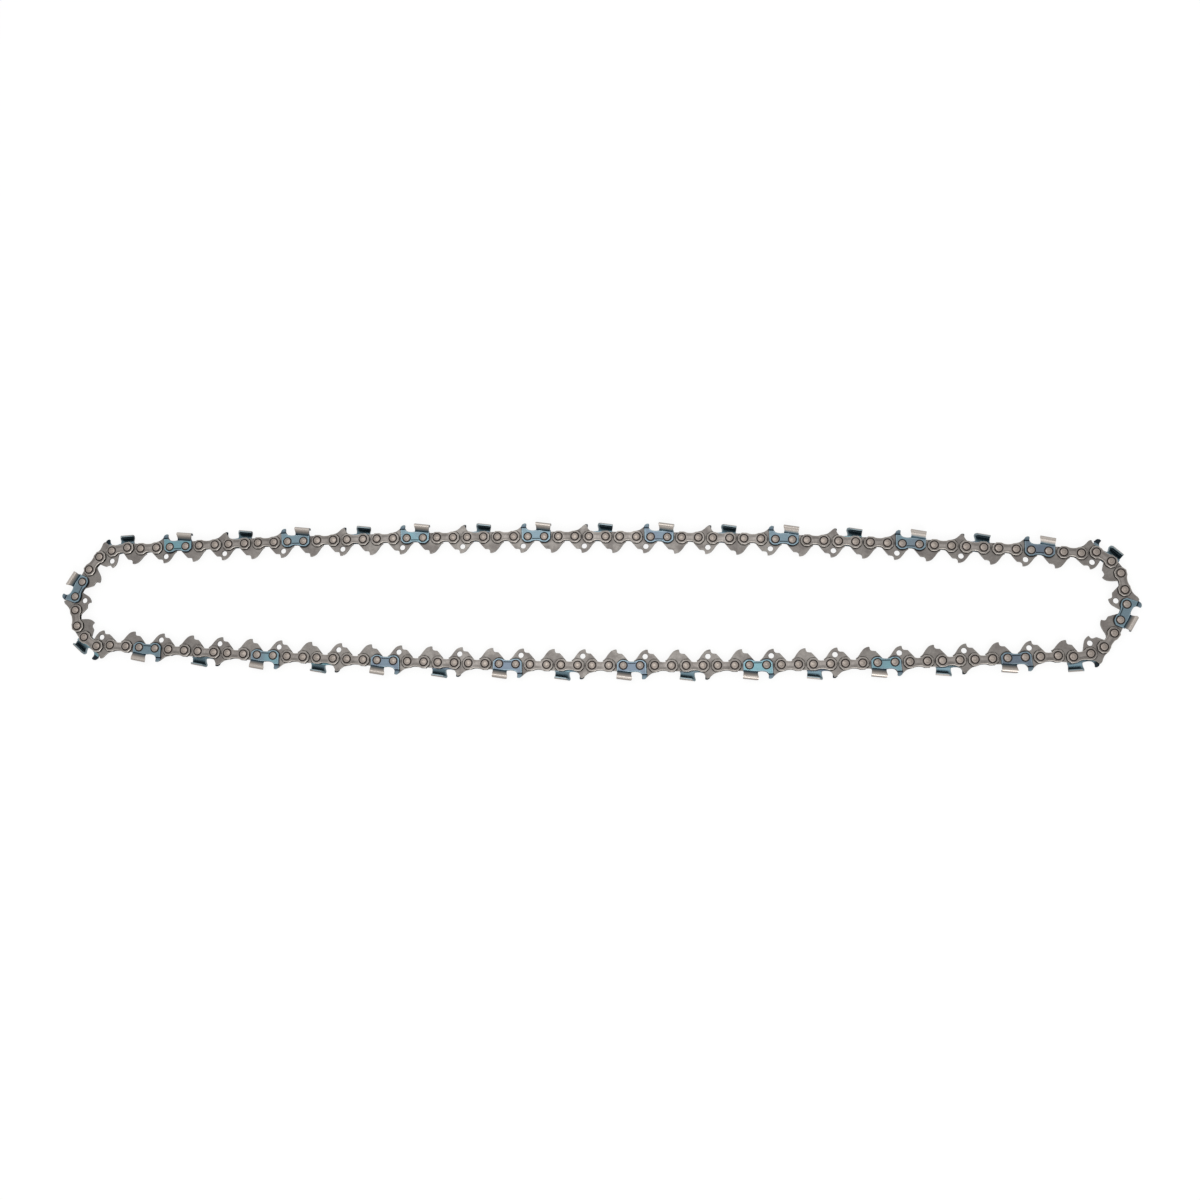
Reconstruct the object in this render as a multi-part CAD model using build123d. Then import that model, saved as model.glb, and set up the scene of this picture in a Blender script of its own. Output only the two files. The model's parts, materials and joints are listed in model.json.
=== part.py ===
"""Chainsaw chain loop: drive links, tie straps and cutters riveted into a closed ring, lying flat.

The rivet axes stand along Z. The loop is walked clockwise, seen from above, and each link is drawn in its
own frame: x runs along the walk, from the leading end to the trailing one, y points out of the loop, and
the link's middle is the origin. Every eighth rivet is a turning pivot, which parts the loop into sections.
"""
import os
from math import cos, pi, radians, sin, tan

from build123d import *

# How the chain is laid out, in links and rivets
SECTIONS = 18                   # each holds one left and one right cutter
LINKS_PER_SECTION = 8           # outer links and drive links by turns
FIRST_PIVOT = 2                 # number of the first rivet that turns
RIVETS = SECTIONS * LINKS_PER_SECTION

# How the loop lies, in degrees. Both ends bend alike, so the loop is the same after half a turn.
END_TURNS = (8, -38, -20, -25, -6, -28, -3, -11, -26, -16, -15, 7)
FIRST_END_RIVET = 57
START_HEADING = 2.8             # of the first link, so that the long axis lies along X

# Spacing of the rivets and the stack of plates
OUTER_SPAN = 10.01              # in a tie strap or a cutter
DRIVE_SPAN = 8.63               # in a drive link
GAUGE = 1.27                    # thickness of a drive link, which fits the groove of the bar
STRAP_THICKNESS = 1.2
SIDE_PLAY = 0.02                # between a drive link and the plate beside it
CUTTER_REACH = 3.35             # from the middle plane to the outermost corner of a cutter

# Rivets
HEAD_RADIUS = 2.15
HEAD_HEIGHT = 0.6
HEAD_SIDES = 5
PIN_RADIUS = 1.6                # of the corners of a turning pin, with few sides to keep the loop light
PIN_SIDES = 6
PIN_CLEARANCE = 0.05            # from those corners to the flats of the hole

# Tie straps, and the lower edge of the cutters
STRAP_END = 3.55                # from the rivet to the end, and to the edge beside the rivet
CORNER_SHARE = tan(pi / 8)      # half a flat of an eight-sided lobe, as a share of its reach
WAIST_DEPTH = 2.2               # from the rivets to the edge between the lobes, on the side of the bar
WAIST_LENGTH = 4.0

# Drive links
DRIVE_END = 2.6                 # from the rivet to the end
DRIVE_TOP = 3.2
TANG_TOP = 3.0                  # how far below the rivets the tang starts
TANG_FRONT = 7.05               # from the link's middle to the tang's leading root
TANG_HEEL = 8.3                 # from the link's middle to its trailing root
TANG_DEPTH = 9.7
HOOK_DEPTH = 7.2                # of the shoulder ahead of the tang's point
HOOK_LENGTH = 3.5
BUMPER_HEIGHT = 7.7
BUMPER_FLAT = 2.0               # length of its highest stretch
BUMPER_REAR = 2.8               # how far its highest stretch trails the link's middle
BUMPER_FOOT = 4.4               # height at which the ramp leaves the body
OIL_HOLE_RADIUS = 1.4
OIL_HOLE_SIDES = 6
OIL_HOLE_DEPTH = 5.6
OIL_HOLE_BACK = 1.5

# Cutters
CUTTER_FRONT = 3.8              # from the leading rivet to the front edge
CUTTER_HEEL = 3.8               # from the trailing rivet to the heel
CUTTER_BODY_TOP = 4.0
CUTTER_BODY_BOTTOM = 3.4
GAUGE_LEAN = 0.8                # how far the depth gauge leans past the front edge
GAUGE_SHOULDER = 5.2
GAUGE_TIP = 8.4
GAUGE_TIP_BACK = 1.7            # from the front edge to the tip
GAUGE_LENGTH = 2.6              # from the front edge to the gullet
GULLET_RUN = 1.5
TOP_PLATE_BACK = 4.3            # from the leading rivet to the cutting corner
TOP_PLATE_HEIGHT = 9.1
TOP_PLATE_THICKNESS = 1.1
TOP_PLATE_OVERHANG = 0.6        # past the middle plane
TOP_PLATE_FALL = 7              # degrees, from the cutting edge to the heel
FLARE_HEIGHT = 7.3              # of the outermost corner
CORNER_CUT = 0.6                # slope between the side and the top plate
EDGE_ANGLE = 30                 # degrees, of the cutting edge seen from above

PLATE_INSIDE = GAUGE / 2 + SIDE_PLAY
PLATE_OUTSIDE = PLATE_INSIDE + STRAP_THICKNESS


def plate(outline, bottom, thickness):
    """A flat plate with the given outline, lying at the given height."""
    return Pos(0, 0, bottom) * extrude(Polygon(*outline, align=None), amount=thickness, dir=(0, 0, 1))


def rivet_head(x):
    """A low spun head on the outer face of a near plate."""
    angles = [2 * pi * side / HEAD_SIDES for side in range(HEAD_SIDES)]
    rim = [(x + HEAD_RADIUS * cos(angle), HEAD_RADIUS * sin(angle), PLATE_OUTSIDE) for angle in angles]
    peak = (x, 0, PLATE_OUTSIDE + HEAD_HEIGHT)
    faces = [Face(Wire.make_polygon(rim))]
    for corner, following in zip(rim, rim[1:] + rim[:1]):
        faces.append(Face(Wire.make_polygon([corner, following, peak])))
    return Solid(Shell(faces))


def rivet_heads():
    """Both heads on the outer face of a near plate."""
    return [rivet_head(-OUTER_SPAN / 2), rivet_head(OUTER_SPAN / 2)]


def waist():
    """The lower edge between the lobes of a strap or a cutter, in the direction of the walk."""
    return [(-WAIST_LENGTH / 2, -WAIST_DEPTH), (WAIST_LENGTH / 2, -WAIST_DEPTH)]


def tie_strap():
    """A near strap with a flat-sided lobe round each rivet, a waist and its two rivet heads."""
    lobe = STRAP_END * CORNER_SHARE
    corners = [(OUTER_SPAN / 2 + STRAP_END, lobe), (OUTER_SPAN / 2 + lobe, STRAP_END)]
    upper = corners + [(-x, y) for x, y in reversed(corners)]
    leading = [(-x, -y) for x, y in corners]
    trailing = [(x, -y) for x, y in reversed(corners)]
    return plate(upper + leading + waist() + trailing, PLATE_INSIDE, STRAP_THICKNESS) + rivet_heads()


def pivot_strap():
    """A near strap with the pin of a turning rivet at its leading end."""
    length = 2 * PLATE_INSIDE - SIDE_PLAY
    pin = extrude(RegularPolygon(PIN_RADIUS, PIN_SIDES), amount=length, dir=(0, 0, -1))
    return tie_strap() + Pos(-OUTER_SPAN / 2, 0, PLATE_INSIDE) * pin


def tang_outline():
    """The tang: its hollow trailing flank, its point, the hook and the leading root."""
    return [
        (TANG_HEEL, -TANG_TOP),
        (0.66 * TANG_HEEL, -0.56 * TANG_DEPTH),
        (0.35 * TANG_HEEL, -0.86 * TANG_DEPTH),
        (0.03 * TANG_HEEL, -TANG_DEPTH),
        (-0.25 * HOOK_LENGTH, -HOOK_DEPTH),
        (-HOOK_LENGTH, -0.97 * HOOK_DEPTH),
        (-TANG_FRONT, -TANG_TOP),
    ]


def drive_link():
    """A plain drive link."""
    end = DRIVE_SPAN / 2 + DRIVE_END
    return plate([(-end, DRIVE_TOP), (end, DRIVE_TOP)] + tang_outline(), -GAUGE / 2, GAUGE)


def bumper_link():
    """A drive link with a guard ramp ahead of the next depth gauge and an oil hole in its tang."""
    end = DRIVE_SPAN / 2 + DRIVE_END
    ramp = [
        (-end, DRIVE_TOP),
        (-BUMPER_REAR, BUMPER_FOOT),
        (BUMPER_REAR - BUMPER_FLAT, BUMPER_HEIGHT),
        (BUMPER_REAR, BUMPER_HEIGHT),
        (1.2 * BUMPER_REAR, (BUMPER_FOOT + BUMPER_HEIGHT) / 2),
        (end, DRIVE_TOP),
    ]
    hole = extrude(RegularPolygon(OIL_HOLE_RADIUS, OIL_HOLE_SIDES), amount=GAUGE, both=True)
    return plate(ramp + tang_outline(), -GAUGE / 2, GAUGE) - Pos(OIL_HOLE_BACK, -OIL_HOLE_DEPTH, 0) * hole


def pivot_link():
    """A bumper link with the hole of a turning rivet at its trailing end."""
    flats = RegularPolygon(PIN_RADIUS + PIN_CLEARANCE, PIN_SIDES, major_radius=False)
    return bumper_link() - Pos(DRIVE_SPAN / 2, 0, 0) * extrude(flats, amount=GAUGE, both=True)


def cutter_side():
    """The cutter's side plate with its depth gauge and gullet."""
    lobe = STRAP_END * CORNER_SHARE
    front = -OUTER_SPAN / 2 - CUTTER_FRONT
    heel = OUTER_SPAN / 2 + CUTTER_HEEL
    outline = [
        (front, -lobe),
        (-OUTER_SPAN / 2 - lobe, -CUTTER_BODY_BOTTOM),
        *waist(),
        (OUTER_SPAN / 2 + lobe, -CUTTER_BODY_BOTTOM),
        (heel, -lobe),
        (heel, CUTTER_BODY_TOP),
        (front + GAUGE_LENGTH + GULLET_RUN, CUTTER_BODY_TOP),
        (front + GAUGE_LENGTH, GAUGE_SHOULDER),
        (front + GAUGE_TIP_BACK, GAUGE_TIP),
        (front - GAUGE_LEAN, GAUGE_SHOULDER),
    ]
    return plate(outline, PLATE_INSIDE, STRAP_THICKNESS)


def cutter_top():
    """The upper side, which leans out, bent over into the top plate and ground at the cutting edge."""
    front = TOP_PLATE_BACK - OUTER_SPAN / 2
    heel = OUTER_SPAN / 2 + CUTTER_HEEL
    under = TOP_PLATE_HEIGHT - TOP_PLATE_THICKNESS
    inside = CUTTER_REACH - STRAP_THICKNESS
    section = [
        (CUTTER_BODY_TOP, PLATE_OUTSIDE),
        (FLARE_HEIGHT, CUTTER_REACH),
        (TOP_PLATE_HEIGHT, CUTTER_REACH - CORNER_CUT),
        (TOP_PLATE_HEIGHT, -TOP_PLATE_OVERHANG),
        (under, -TOP_PLATE_OVERHANG),
        (under, inside - CORNER_CUT),
        (FLARE_HEIGHT, inside),
        (CUTTER_BODY_TOP, PLATE_INSIDE),
    ]
    bar = extrude(Plane.YZ * Polygon(*section, align=None), amount=heel - front, dir=(1, 0, 0))
    edge = Plane((0, 0, CUTTER_REACH), z_dir=(cos(radians(EDGE_ANGLE)), 0, sin(radians(EDGE_ANGLE))))
    ground = split(bar, bisect_by=edge, keep=Keep.TOP)
    lean = Pos(front, CUTTER_BODY_TOP, 0) * Rot(0, 0, -TOP_PLATE_FALL)
    return lean * Pos(0, -CUTTER_BODY_TOP, 0) * ground


def cutter():
    """A near cutter with its two rivet heads."""
    return cutter_side() + cutter_top() + rivet_heads()


def rivet_turns():
    """The turn of the chain at each rivet of half the loop, in degrees."""
    half = RIVETS // 2
    left_over = (-180 - sum(END_TURNS)) / (half - len(END_TURNS))
    turns = [left_over] * half
    turns[FIRST_END_RIVET:FIRST_END_RIVET + len(END_TURNS)] = END_TURNS
    return turns


def link_places():
    """The place of each link's middle, with x along the link, in the order of the walk."""
    turns = rivet_turns() * 2
    spans = [OUTER_SPAN, DRIVE_SPAN] * (RIVETS // 2)
    rivet = Vector(0, 0, 0)
    heading = START_HEADING - turns[0]
    rivets = []
    headings = []
    for turn, span in zip(turns, spans):
        heading += turn
        rivets.append(rivet)
        headings.append(heading)
        rivet += Vector(span, 0, 0).rotate(Axis.Z, heading)
    centre = (rivets[0] + rivets[RIVETS // 2]) / 2
    places = []
    for start, span, heading in zip(rivets, spans, headings):
        middle = start - centre + Vector(span / 2, 0, 0).rotate(Axis.Z, heading)
        places.append(Pos(middle.X, middle.Y, CUTTER_REACH) * Rot(0, 0, heading))
    return places


def section_nodes(places):
    """The drive links, tie straps and cutters of one section, in the order of its links."""
    drive_links = [drive_link(), bumper_link(), drive_link(), pivot_link()]
    near_strap = tie_strap()
    far_strap = mirror(near_strap, about=Plane.XY)
    near_cutter = cutter()
    far_cutter = mirror(near_cutter, about=Plane.XY)
    outer_links = places[0::2]
    return {
        "drive_links": [place * link for place, link in zip(places[1::2], drive_links)],
        "tie_straps": [
            outer_links[0] * pivot_strap(),
            outer_links[1] * near_strap,
            outer_links[1] * far_strap,
            outer_links[2] * far_strap,
            outer_links[3] * near_strap,
            outer_links[3] * far_strap,
        ],
        "cutters": [outer_links[0] * far_cutter, outer_links[2] * near_cutter],
    }


def build():
    """Every node of the loop, as lists of solids by name."""
    places = link_places()
    nodes = {}
    for section in range(SECTIONS):
        first = FIRST_PIVOT + section * LINKS_PER_SECTION
        links = [places[(first + link) % RIVETS] for link in range(LINKS_PER_SECTION)]
        for family, pieces in section_nodes(links).items():
            nodes[f"{family}_{section + 1:02d}"] = [piece.solid() for piece in pieces]
    return nodes


def main():
    """Write one STEP file for each node."""
    os.makedirs("parts", exist_ok=True)
    for name, solids in build().items():
        export_step(Compound(children=solids, label=name), f"parts/{name}.step")


if __name__ == "__main__":
    main()
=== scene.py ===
"""Looks of a chainsaw chain loop: its link plates, cutters and rivets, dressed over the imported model.

Lengths are millimetres and angles degrees unless a field says otherwise; meshes are made in metres.
Each link is drawn in its own frame: x runs along the chain from the leading end to the trailing one,
y points out of the loop, z points up, and the origin is the link's middle in the middle plane.
"""
import json
import logging
from dataclasses import dataclass
from enum import Enum
from math import cos, pi, radians, sin, tan
from typing import Callable, Sequence

import bmesh
import bpy
from mathutils import Matrix, Vector
from mathutils.geometry import interpolate_bezier, tessellate_polygon

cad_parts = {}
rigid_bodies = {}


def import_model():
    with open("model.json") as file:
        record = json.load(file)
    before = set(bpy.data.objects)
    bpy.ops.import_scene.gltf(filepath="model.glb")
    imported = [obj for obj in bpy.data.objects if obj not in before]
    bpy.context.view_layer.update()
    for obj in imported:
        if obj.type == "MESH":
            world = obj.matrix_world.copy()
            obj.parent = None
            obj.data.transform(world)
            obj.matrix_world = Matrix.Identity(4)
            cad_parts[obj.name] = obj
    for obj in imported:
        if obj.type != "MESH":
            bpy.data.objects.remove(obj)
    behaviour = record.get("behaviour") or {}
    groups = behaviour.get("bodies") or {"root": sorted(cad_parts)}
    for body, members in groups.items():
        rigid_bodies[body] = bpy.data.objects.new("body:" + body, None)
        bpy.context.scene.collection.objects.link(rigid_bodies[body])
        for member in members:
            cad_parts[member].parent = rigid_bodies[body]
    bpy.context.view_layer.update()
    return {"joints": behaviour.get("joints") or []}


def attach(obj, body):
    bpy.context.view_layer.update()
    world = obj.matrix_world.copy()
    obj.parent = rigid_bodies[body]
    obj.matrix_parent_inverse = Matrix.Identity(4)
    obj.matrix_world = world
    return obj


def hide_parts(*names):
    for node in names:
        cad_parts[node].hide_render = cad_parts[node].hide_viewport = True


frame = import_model()

Shape = bmesh.types.BMesh
Vertex = bmesh.types.BMVert
Mesh = bpy.types.Mesh
Material = bpy.types.Material
Socket = bpy.types.NodeSocket

LOG = logging.getLogger("chain_loop")
MM = 0.001
SMOOTH_ANGLE = 32
MITRE_LIMIT = 0.6


class Side(Enum):
    """Which side of the middle plane a plate lies on: its roll about the link, in radians."""

    NEAR = 0.0
    FAR = pi


class Bend(Enum):
    """How an outline passes through one of its knots: the share of a stretch that steers it."""

    CORNER = 1 / 3
    ROUND = 1 / 6


class Zone(Enum):
    """Face attributes that the finishes read."""

    EDGE = "edge"
    WALL = "wall"
    CHROME = "chrome"
    GROUND = "ground"
    INSIDE = "inside"
    GAUGE = "gauge"
    RIM = "rim"
    RING = "ring"


class DriveKind(Enum):
    """The two forms of drive link, by their place among the templates."""

    PLAIN = 0
    BUMPER = 1


@dataclass(frozen=True)
class Knot:
    """One knot of an outline."""

    x: float
    y: float
    bend: Bend = Bend.CORNER

    @property
    def point(self) -> Vector:
        """The knot as a flat vector."""
        return Vector((self.x, self.y, 0))


def soft(x: float, y: float) -> Knot:
    """A knot that the outline passes in a smooth curve."""
    return Knot(x, y, Bend.ROUND)


def placed(name: str, data: bpy.types.ID) -> bpy.types.Object:
    """Add an object to the scene.

    Args:
        name: Name of the object.
        data: Its mesh, light or camera.

    Returns:
        The object.
    """
    made = bpy.data.objects.new(name, data)
    bpy.context.scene.collection.objects.link(made)
    return made


def trace(knots: Sequence[Knot], steps: int, closed: bool = True) -> list[Vector]:
    """Turn knots into a line of points.

    Args:
        knots: The knots in order, counter-clockwise where the line is closed.
        steps: Points for each stretch that isn't straight.
        closed: Whether the last knot joins the first.

    Returns:
        The points of the line.
    """
    count = len(knots)
    points: list[Vector] = []
    for index in range(count if closed else count - 1):
        here = knots[index]
        after = knots[(index + 1) % count]
        start = here.point
        end = after.point
        if here.bend is Bend.CORNER and after.bend is Bend.CORNER:
            points.append(start)
            continue
        before = knots[index - 1] if closed or index else here
        beyond = knots[(index + 2) % count] if closed or index + 2 < count else after
        tail = before.point if here.bend is Bend.ROUND else start
        head = beyond.point if after.bend is Bend.ROUND else end
        leave = start + (end - tail) * here.bend.value
        arrive = end - (head - start) * after.bend.value
        points += interpolate_bezier(start, leave, arrive, end, steps + 1)[:-1]
    if not closed:
        points.append(knots[-1].point)
    return [Vector((point.x, point.y, 0)) for point in points]


def circle(x: float, y: float, radius: float, sides: int) -> list[Vector]:
    """A clockwise circle, which cuts a hole in a plate."""
    angles = [-2 * pi * side / sides for side in range(sides)]
    return [Vector((x + radius * cos(angle), y + radius * sin(angle), 0)) for angle in angles]


def moved_left(loop: Sequence[Vector], depth: float, closed: bool = True) -> list[Vector]:
    """A line moved to the left of its run, with mitred corners.

    Args:
        loop: The points of the line.
        depth: How far it moves.
        closed: Whether the last point joins the first.

    Returns:
        The moved points, one for each point of the line.
    """
    moved = []
    last = len(loop) - 1
    for index, point in enumerate(loop):
        before = loop[index - 1] if closed or index else point * 2 - loop[1]
        after = loop[(index + 1) % len(loop)] if closed or index < last else point * 2 - loop[last - 1]
        arriving = (point - before).normalized()
        leaving = (after - point).normalized()
        first = Vector((-arriving.y, arriving.x, 0))
        second = Vector((-leaving.y, leaving.x, 0))
        moved.append(point + (first + second) * depth / max(1 + first.dot(second), MITRE_LIMIT))
    return moved


def finish_template(bm: Shape, name: str) -> Mesh:
    """Turn a bmesh in millimetres into a template mesh in metres.

    Args:
        bm: The bmesh, which is freed.
        name: Name of the mesh.

    Returns:
        The mesh, with each point's place in its link kept in the attribute "local".
    """
    mesh = bpy.data.meshes.new(name)
    bm.to_mesh(mesh)
    bm.free()
    local = mesh.attributes.new("local", "FLOAT_VECTOR", "POINT")
    for vertex, value in zip(mesh.vertices, local.data):
        value.vector = vertex.co
    mesh.transform(Matrix.Scale(MM, 4))
    mesh.polygons.foreach_set("use_smooth", [True] * len(mesh.polygons))
    mesh.set_sharp_from_angle(angle=radians(SMOOTH_ANGLE))
    return mesh


def zone_layers(bm: Shape) -> dict[Zone, bmesh.types.BMLayerItem]:
    """The face layers of a bmesh, one for each zone."""
    layers = bm.faces.layers.float
    return {zone: layers.get(zone.value) or layers.new(zone.value) for zone in Zone}


@dataclass
class Plate:
    """A stamped plate with bevelled edges and holes."""

    outline: list[Vector]
    holes: list[list[Vector]]
    bottom: float
    thickness: float
    bevel: float
    under_bevel: float
    hole_bevel: float
    rim: float = 0

    def levels(self, loop: list[Vector]) -> list[tuple[list[Vector], float, Zone | None]]:
        """Lay the rings that a wall is built from.

        Args:
            loop: The outline or a hole.

        Returns:
            The rings from below, each with its height and the zone of the band under it.
        """
        top = self.bottom + self.thickness
        is_hole = loop is not self.outline
        under = self.hole_bevel if is_hole else self.under_bevel
        over = self.hole_bevel if is_hole else self.bevel
        rings = [
            (moved_left(loop, under), self.bottom, None),
            (loop, self.bottom + under, Zone.WALL),
            (loop, top - over, Zone.WALL),
            (moved_left(loop, over), top, Zone.WALL if is_hole else Zone.EDGE),
        ]
        if self.rim and not is_hole:
            rings.append((moved_left(loop, over + self.rim), top, Zone.RIM))
        return rings

    def build(self) -> Shape:
        """Build the plate.

        Returns:
            A closed bmesh, with its edges and walls marked.
        """
        bm = bmesh.new()
        zones = zone_layers(bm)
        lowest: list[list[Vertex]] = []
        highest: list[list[Vertex]] = []
        for loop in [self.outline] + self.holes:
            lower: list[Vertex] = []
            for points, height, zone in self.levels(loop):
                upper = [bm.verts.new((point.x, point.y, height)) for point in points]
                for index in range(len(lower)):
                    after = (index + 1) % len(lower)
                    face = bm.faces.new((lower[index], lower[after], upper[after], upper[index]))
                    face[zones[zone]] = 1
                if not lower:
                    lowest.append(upper)
                lower = upper
            highest.append(lower)
        self.close(bm, lowest, -1)
        self.close(bm, highest, 1)
        return bm

    @staticmethod
    def close(bm: Shape, rings: list[list[Vertex]], facing: int) -> None:
        """Fill the face between an outline and its holes.

        Args:
            bm: The bmesh that gets the face.
            rings: The outline's vertices, then those of each hole.
            facing: 1 for a face that looks up, -1 for one that looks down.
        """
        vertices = [vertex for ring in rings for vertex in ring]
        for corners in tessellate_polygon([[vertex.co for vertex in ring] for ring in rings]):
            face = bm.faces.new([vertices[corner] for corner in corners])
            face.normal_update()
            if face.normal.z * facing < 0:
                face.normal_flip()


@dataclass(frozen=True)
class LinkPlace:
    """Where one link lies: its middle, and its heading in radians."""

    number: int
    x: float
    y: float
    heading: float

    def ahead(self, distance: float) -> tuple[float, float]:
        """The point that lies a distance along the link from its middle."""
        return self.x + distance * cos(self.heading), self.y + distance * sin(self.heading)


@dataclass(frozen=True)
class ChainLay:
    """How the chain is laid out: its links, its spacing and its bends, as in the part's source."""

    sections: int = 18
    links_per_section: int = 8
    first_pivot: int = 2
    end_turns: tuple[float, ...] = (8, -38, -20, -25, -6, -28, -3, -11, -26, -16, -15, 7)
    first_end_rivet: int = 57
    start_heading: float = 2.8
    outer_span: float = 10.01
    drive_span: float = 8.63
    mid_height: float = 3.35

    @property
    def rivets(self) -> int:
        """How many rivets the loop has, and how many links."""
        return self.sections * self.links_per_section

    @property
    def reach(self) -> float:
        """How far the rivets of an outer link stand from its middle."""
        return self.outer_span / 2

    def turns(self) -> list[float]:
        """Spread the turns of the chain.

        Returns:
            The turn at each rivet: both ends alike, and the rest spread over the runs.
        """
        half = self.rivets // 2
        spread = (-180 - sum(self.end_turns)) / (half - len(self.end_turns))
        turns = [spread] * half
        turns[self.first_end_rivet:self.first_end_rivet + len(self.end_turns)] = self.end_turns
        return turns * 2

    def places(self) -> list[LinkPlace]:
        """Walk round the loop.

        Returns:
            The place of each link in the order of the walk.
        """
        turns = self.turns()
        heading = radians(self.start_heading - turns[0])
        rivet = Vector((0, 0))
        starts: list[tuple[Vector, float, float]] = []
        for index, turn in enumerate(turns):
            heading += radians(turn)
            span = self.drive_span if index % 2 else self.outer_span
            starts.append((rivet, heading, span))
            rivet = rivet + Vector((cos(heading), sin(heading))) * span
        centre = (starts[0][0] + starts[self.rivets // 2][0]) / 2
        places = []
        for number, (start, angle, span) in enumerate(starts):
            middle = start - centre + Vector((cos(angle), sin(angle))) * span / 2
            places.append(LinkPlace(number, middle.x, middle.y, angle))
        return places

    def section(self, index: int) -> list[LinkPlace]:
        """Pick out one section.

        Args:
            index: Number of the section, from 0.

        Returns:
            Its links, from its turning pin to the next one.
        """
        places = self.places()
        first = self.first_pivot + index * self.links_per_section
        return [places[(first + link) % self.rivets] for link in range(self.links_per_section)]

    def largest_slip(self) -> float:
        """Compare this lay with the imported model.

        Returns:
            How far its pivots stand from the joints of the model, at the most.
        """
        pivots = [self.section(index)[0].ahead(-self.reach) for index in range(self.sections)]
        slips = []
        for joint in frame["joints"]:
            at = Vector(joint["pos_m"][:2]) / MM
            slips.append(min((at - Vector(pivot)).length for pivot in pivots))
        return max(slips)


@dataclass(frozen=True)
class Seat:
    """One copy of a template: its link, its place along it, the template's number and its side."""

    place: LinkPlace
    along: float = 0
    template: int = 0
    side: Side = Side.NEAR


@dataclass(frozen=True)
class Colour:
    """A colour as it shows on a screen, from 0 to 255."""

    red: float
    green: float
    blue: float

    @property
    def linear(self) -> tuple[float, float, float, float]:
        """The colour as a shader takes it.

        Returns:
            Red, green, blue and alpha, from 0 to 1.
        """
        channels = []
        for value in (self.red, self.green, self.blue):
            share = value / 255
            channels.append(share / 12.92 if share <= 0.04045 else ((share + 0.055) / 1.055) ** 2.4)
        return (*channels, 1.0)


@dataclass(frozen=True)
class Step:
    """A smooth step from start to end while a value goes from low to high."""

    low: float
    high: float
    start: float = 0
    end: float = 1


@dataclass(frozen=True)
class Band:
    """A stripe round a centre, full up to the inner distance from it and gone at the outer one."""

    centre: float
    inner: float
    outer: float


@dataclass(frozen=True)
class Grain:
    """A noise: how fine it is, and how many finer layers it has."""

    scale: float
    detail: float


Stretch = tuple[float, float, float]
Stops = tuple[tuple[float, Colour], ...]
Value = Socket | Colour | float | str | Stretch
Inputs = dict[str | int, Value]
Outputs = bpy.types.NodeOutputs


class Wiring:
    """A node tree while it is put together."""

    def __init__(self, tree: bpy.types.NodeTree) -> None:
        """Keep the tree."""
        self.tree = tree

    def supply(self, node: bpy.types.Node, inputs: Inputs) -> Outputs:
        """Give a node's inputs constants, colours or the values of other sockets.

        Args:
            node: The node.
            inputs: What its inputs get, by their names or places.

        Returns:
            The node's outputs.
        """
        for key, value in inputs.items():
            socket = node.inputs[key]
            if isinstance(value, Socket):
                self.tree.links.new(value, socket)
            elif isinstance(value, Colour):
                socket.default_value = value.linear[:len(socket.default_value)]
            else:
                socket.default_value = value
        return node.outputs

    def node(self, kind: str, inputs: Inputs, **settings: str) -> Outputs:
        """Add a node.

        Args:
            kind: Type of the node.
            inputs: What its inputs get, by their names or places.
            settings: Its other settings.

        Returns:
            The node's outputs.
        """
        made = self.tree.nodes.new(kind)
        for name, setting in settings.items():
            setattr(made, name, setting)
        return self.supply(made, inputs)

    def sum(self, operation: str, first: Value, second: Value = 0) -> Socket:
        """The result of one sum on one or two numbers."""
        return self.node("ShaderNodeMath", {0: first, 1: second}, operation=operation)[0]


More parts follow.
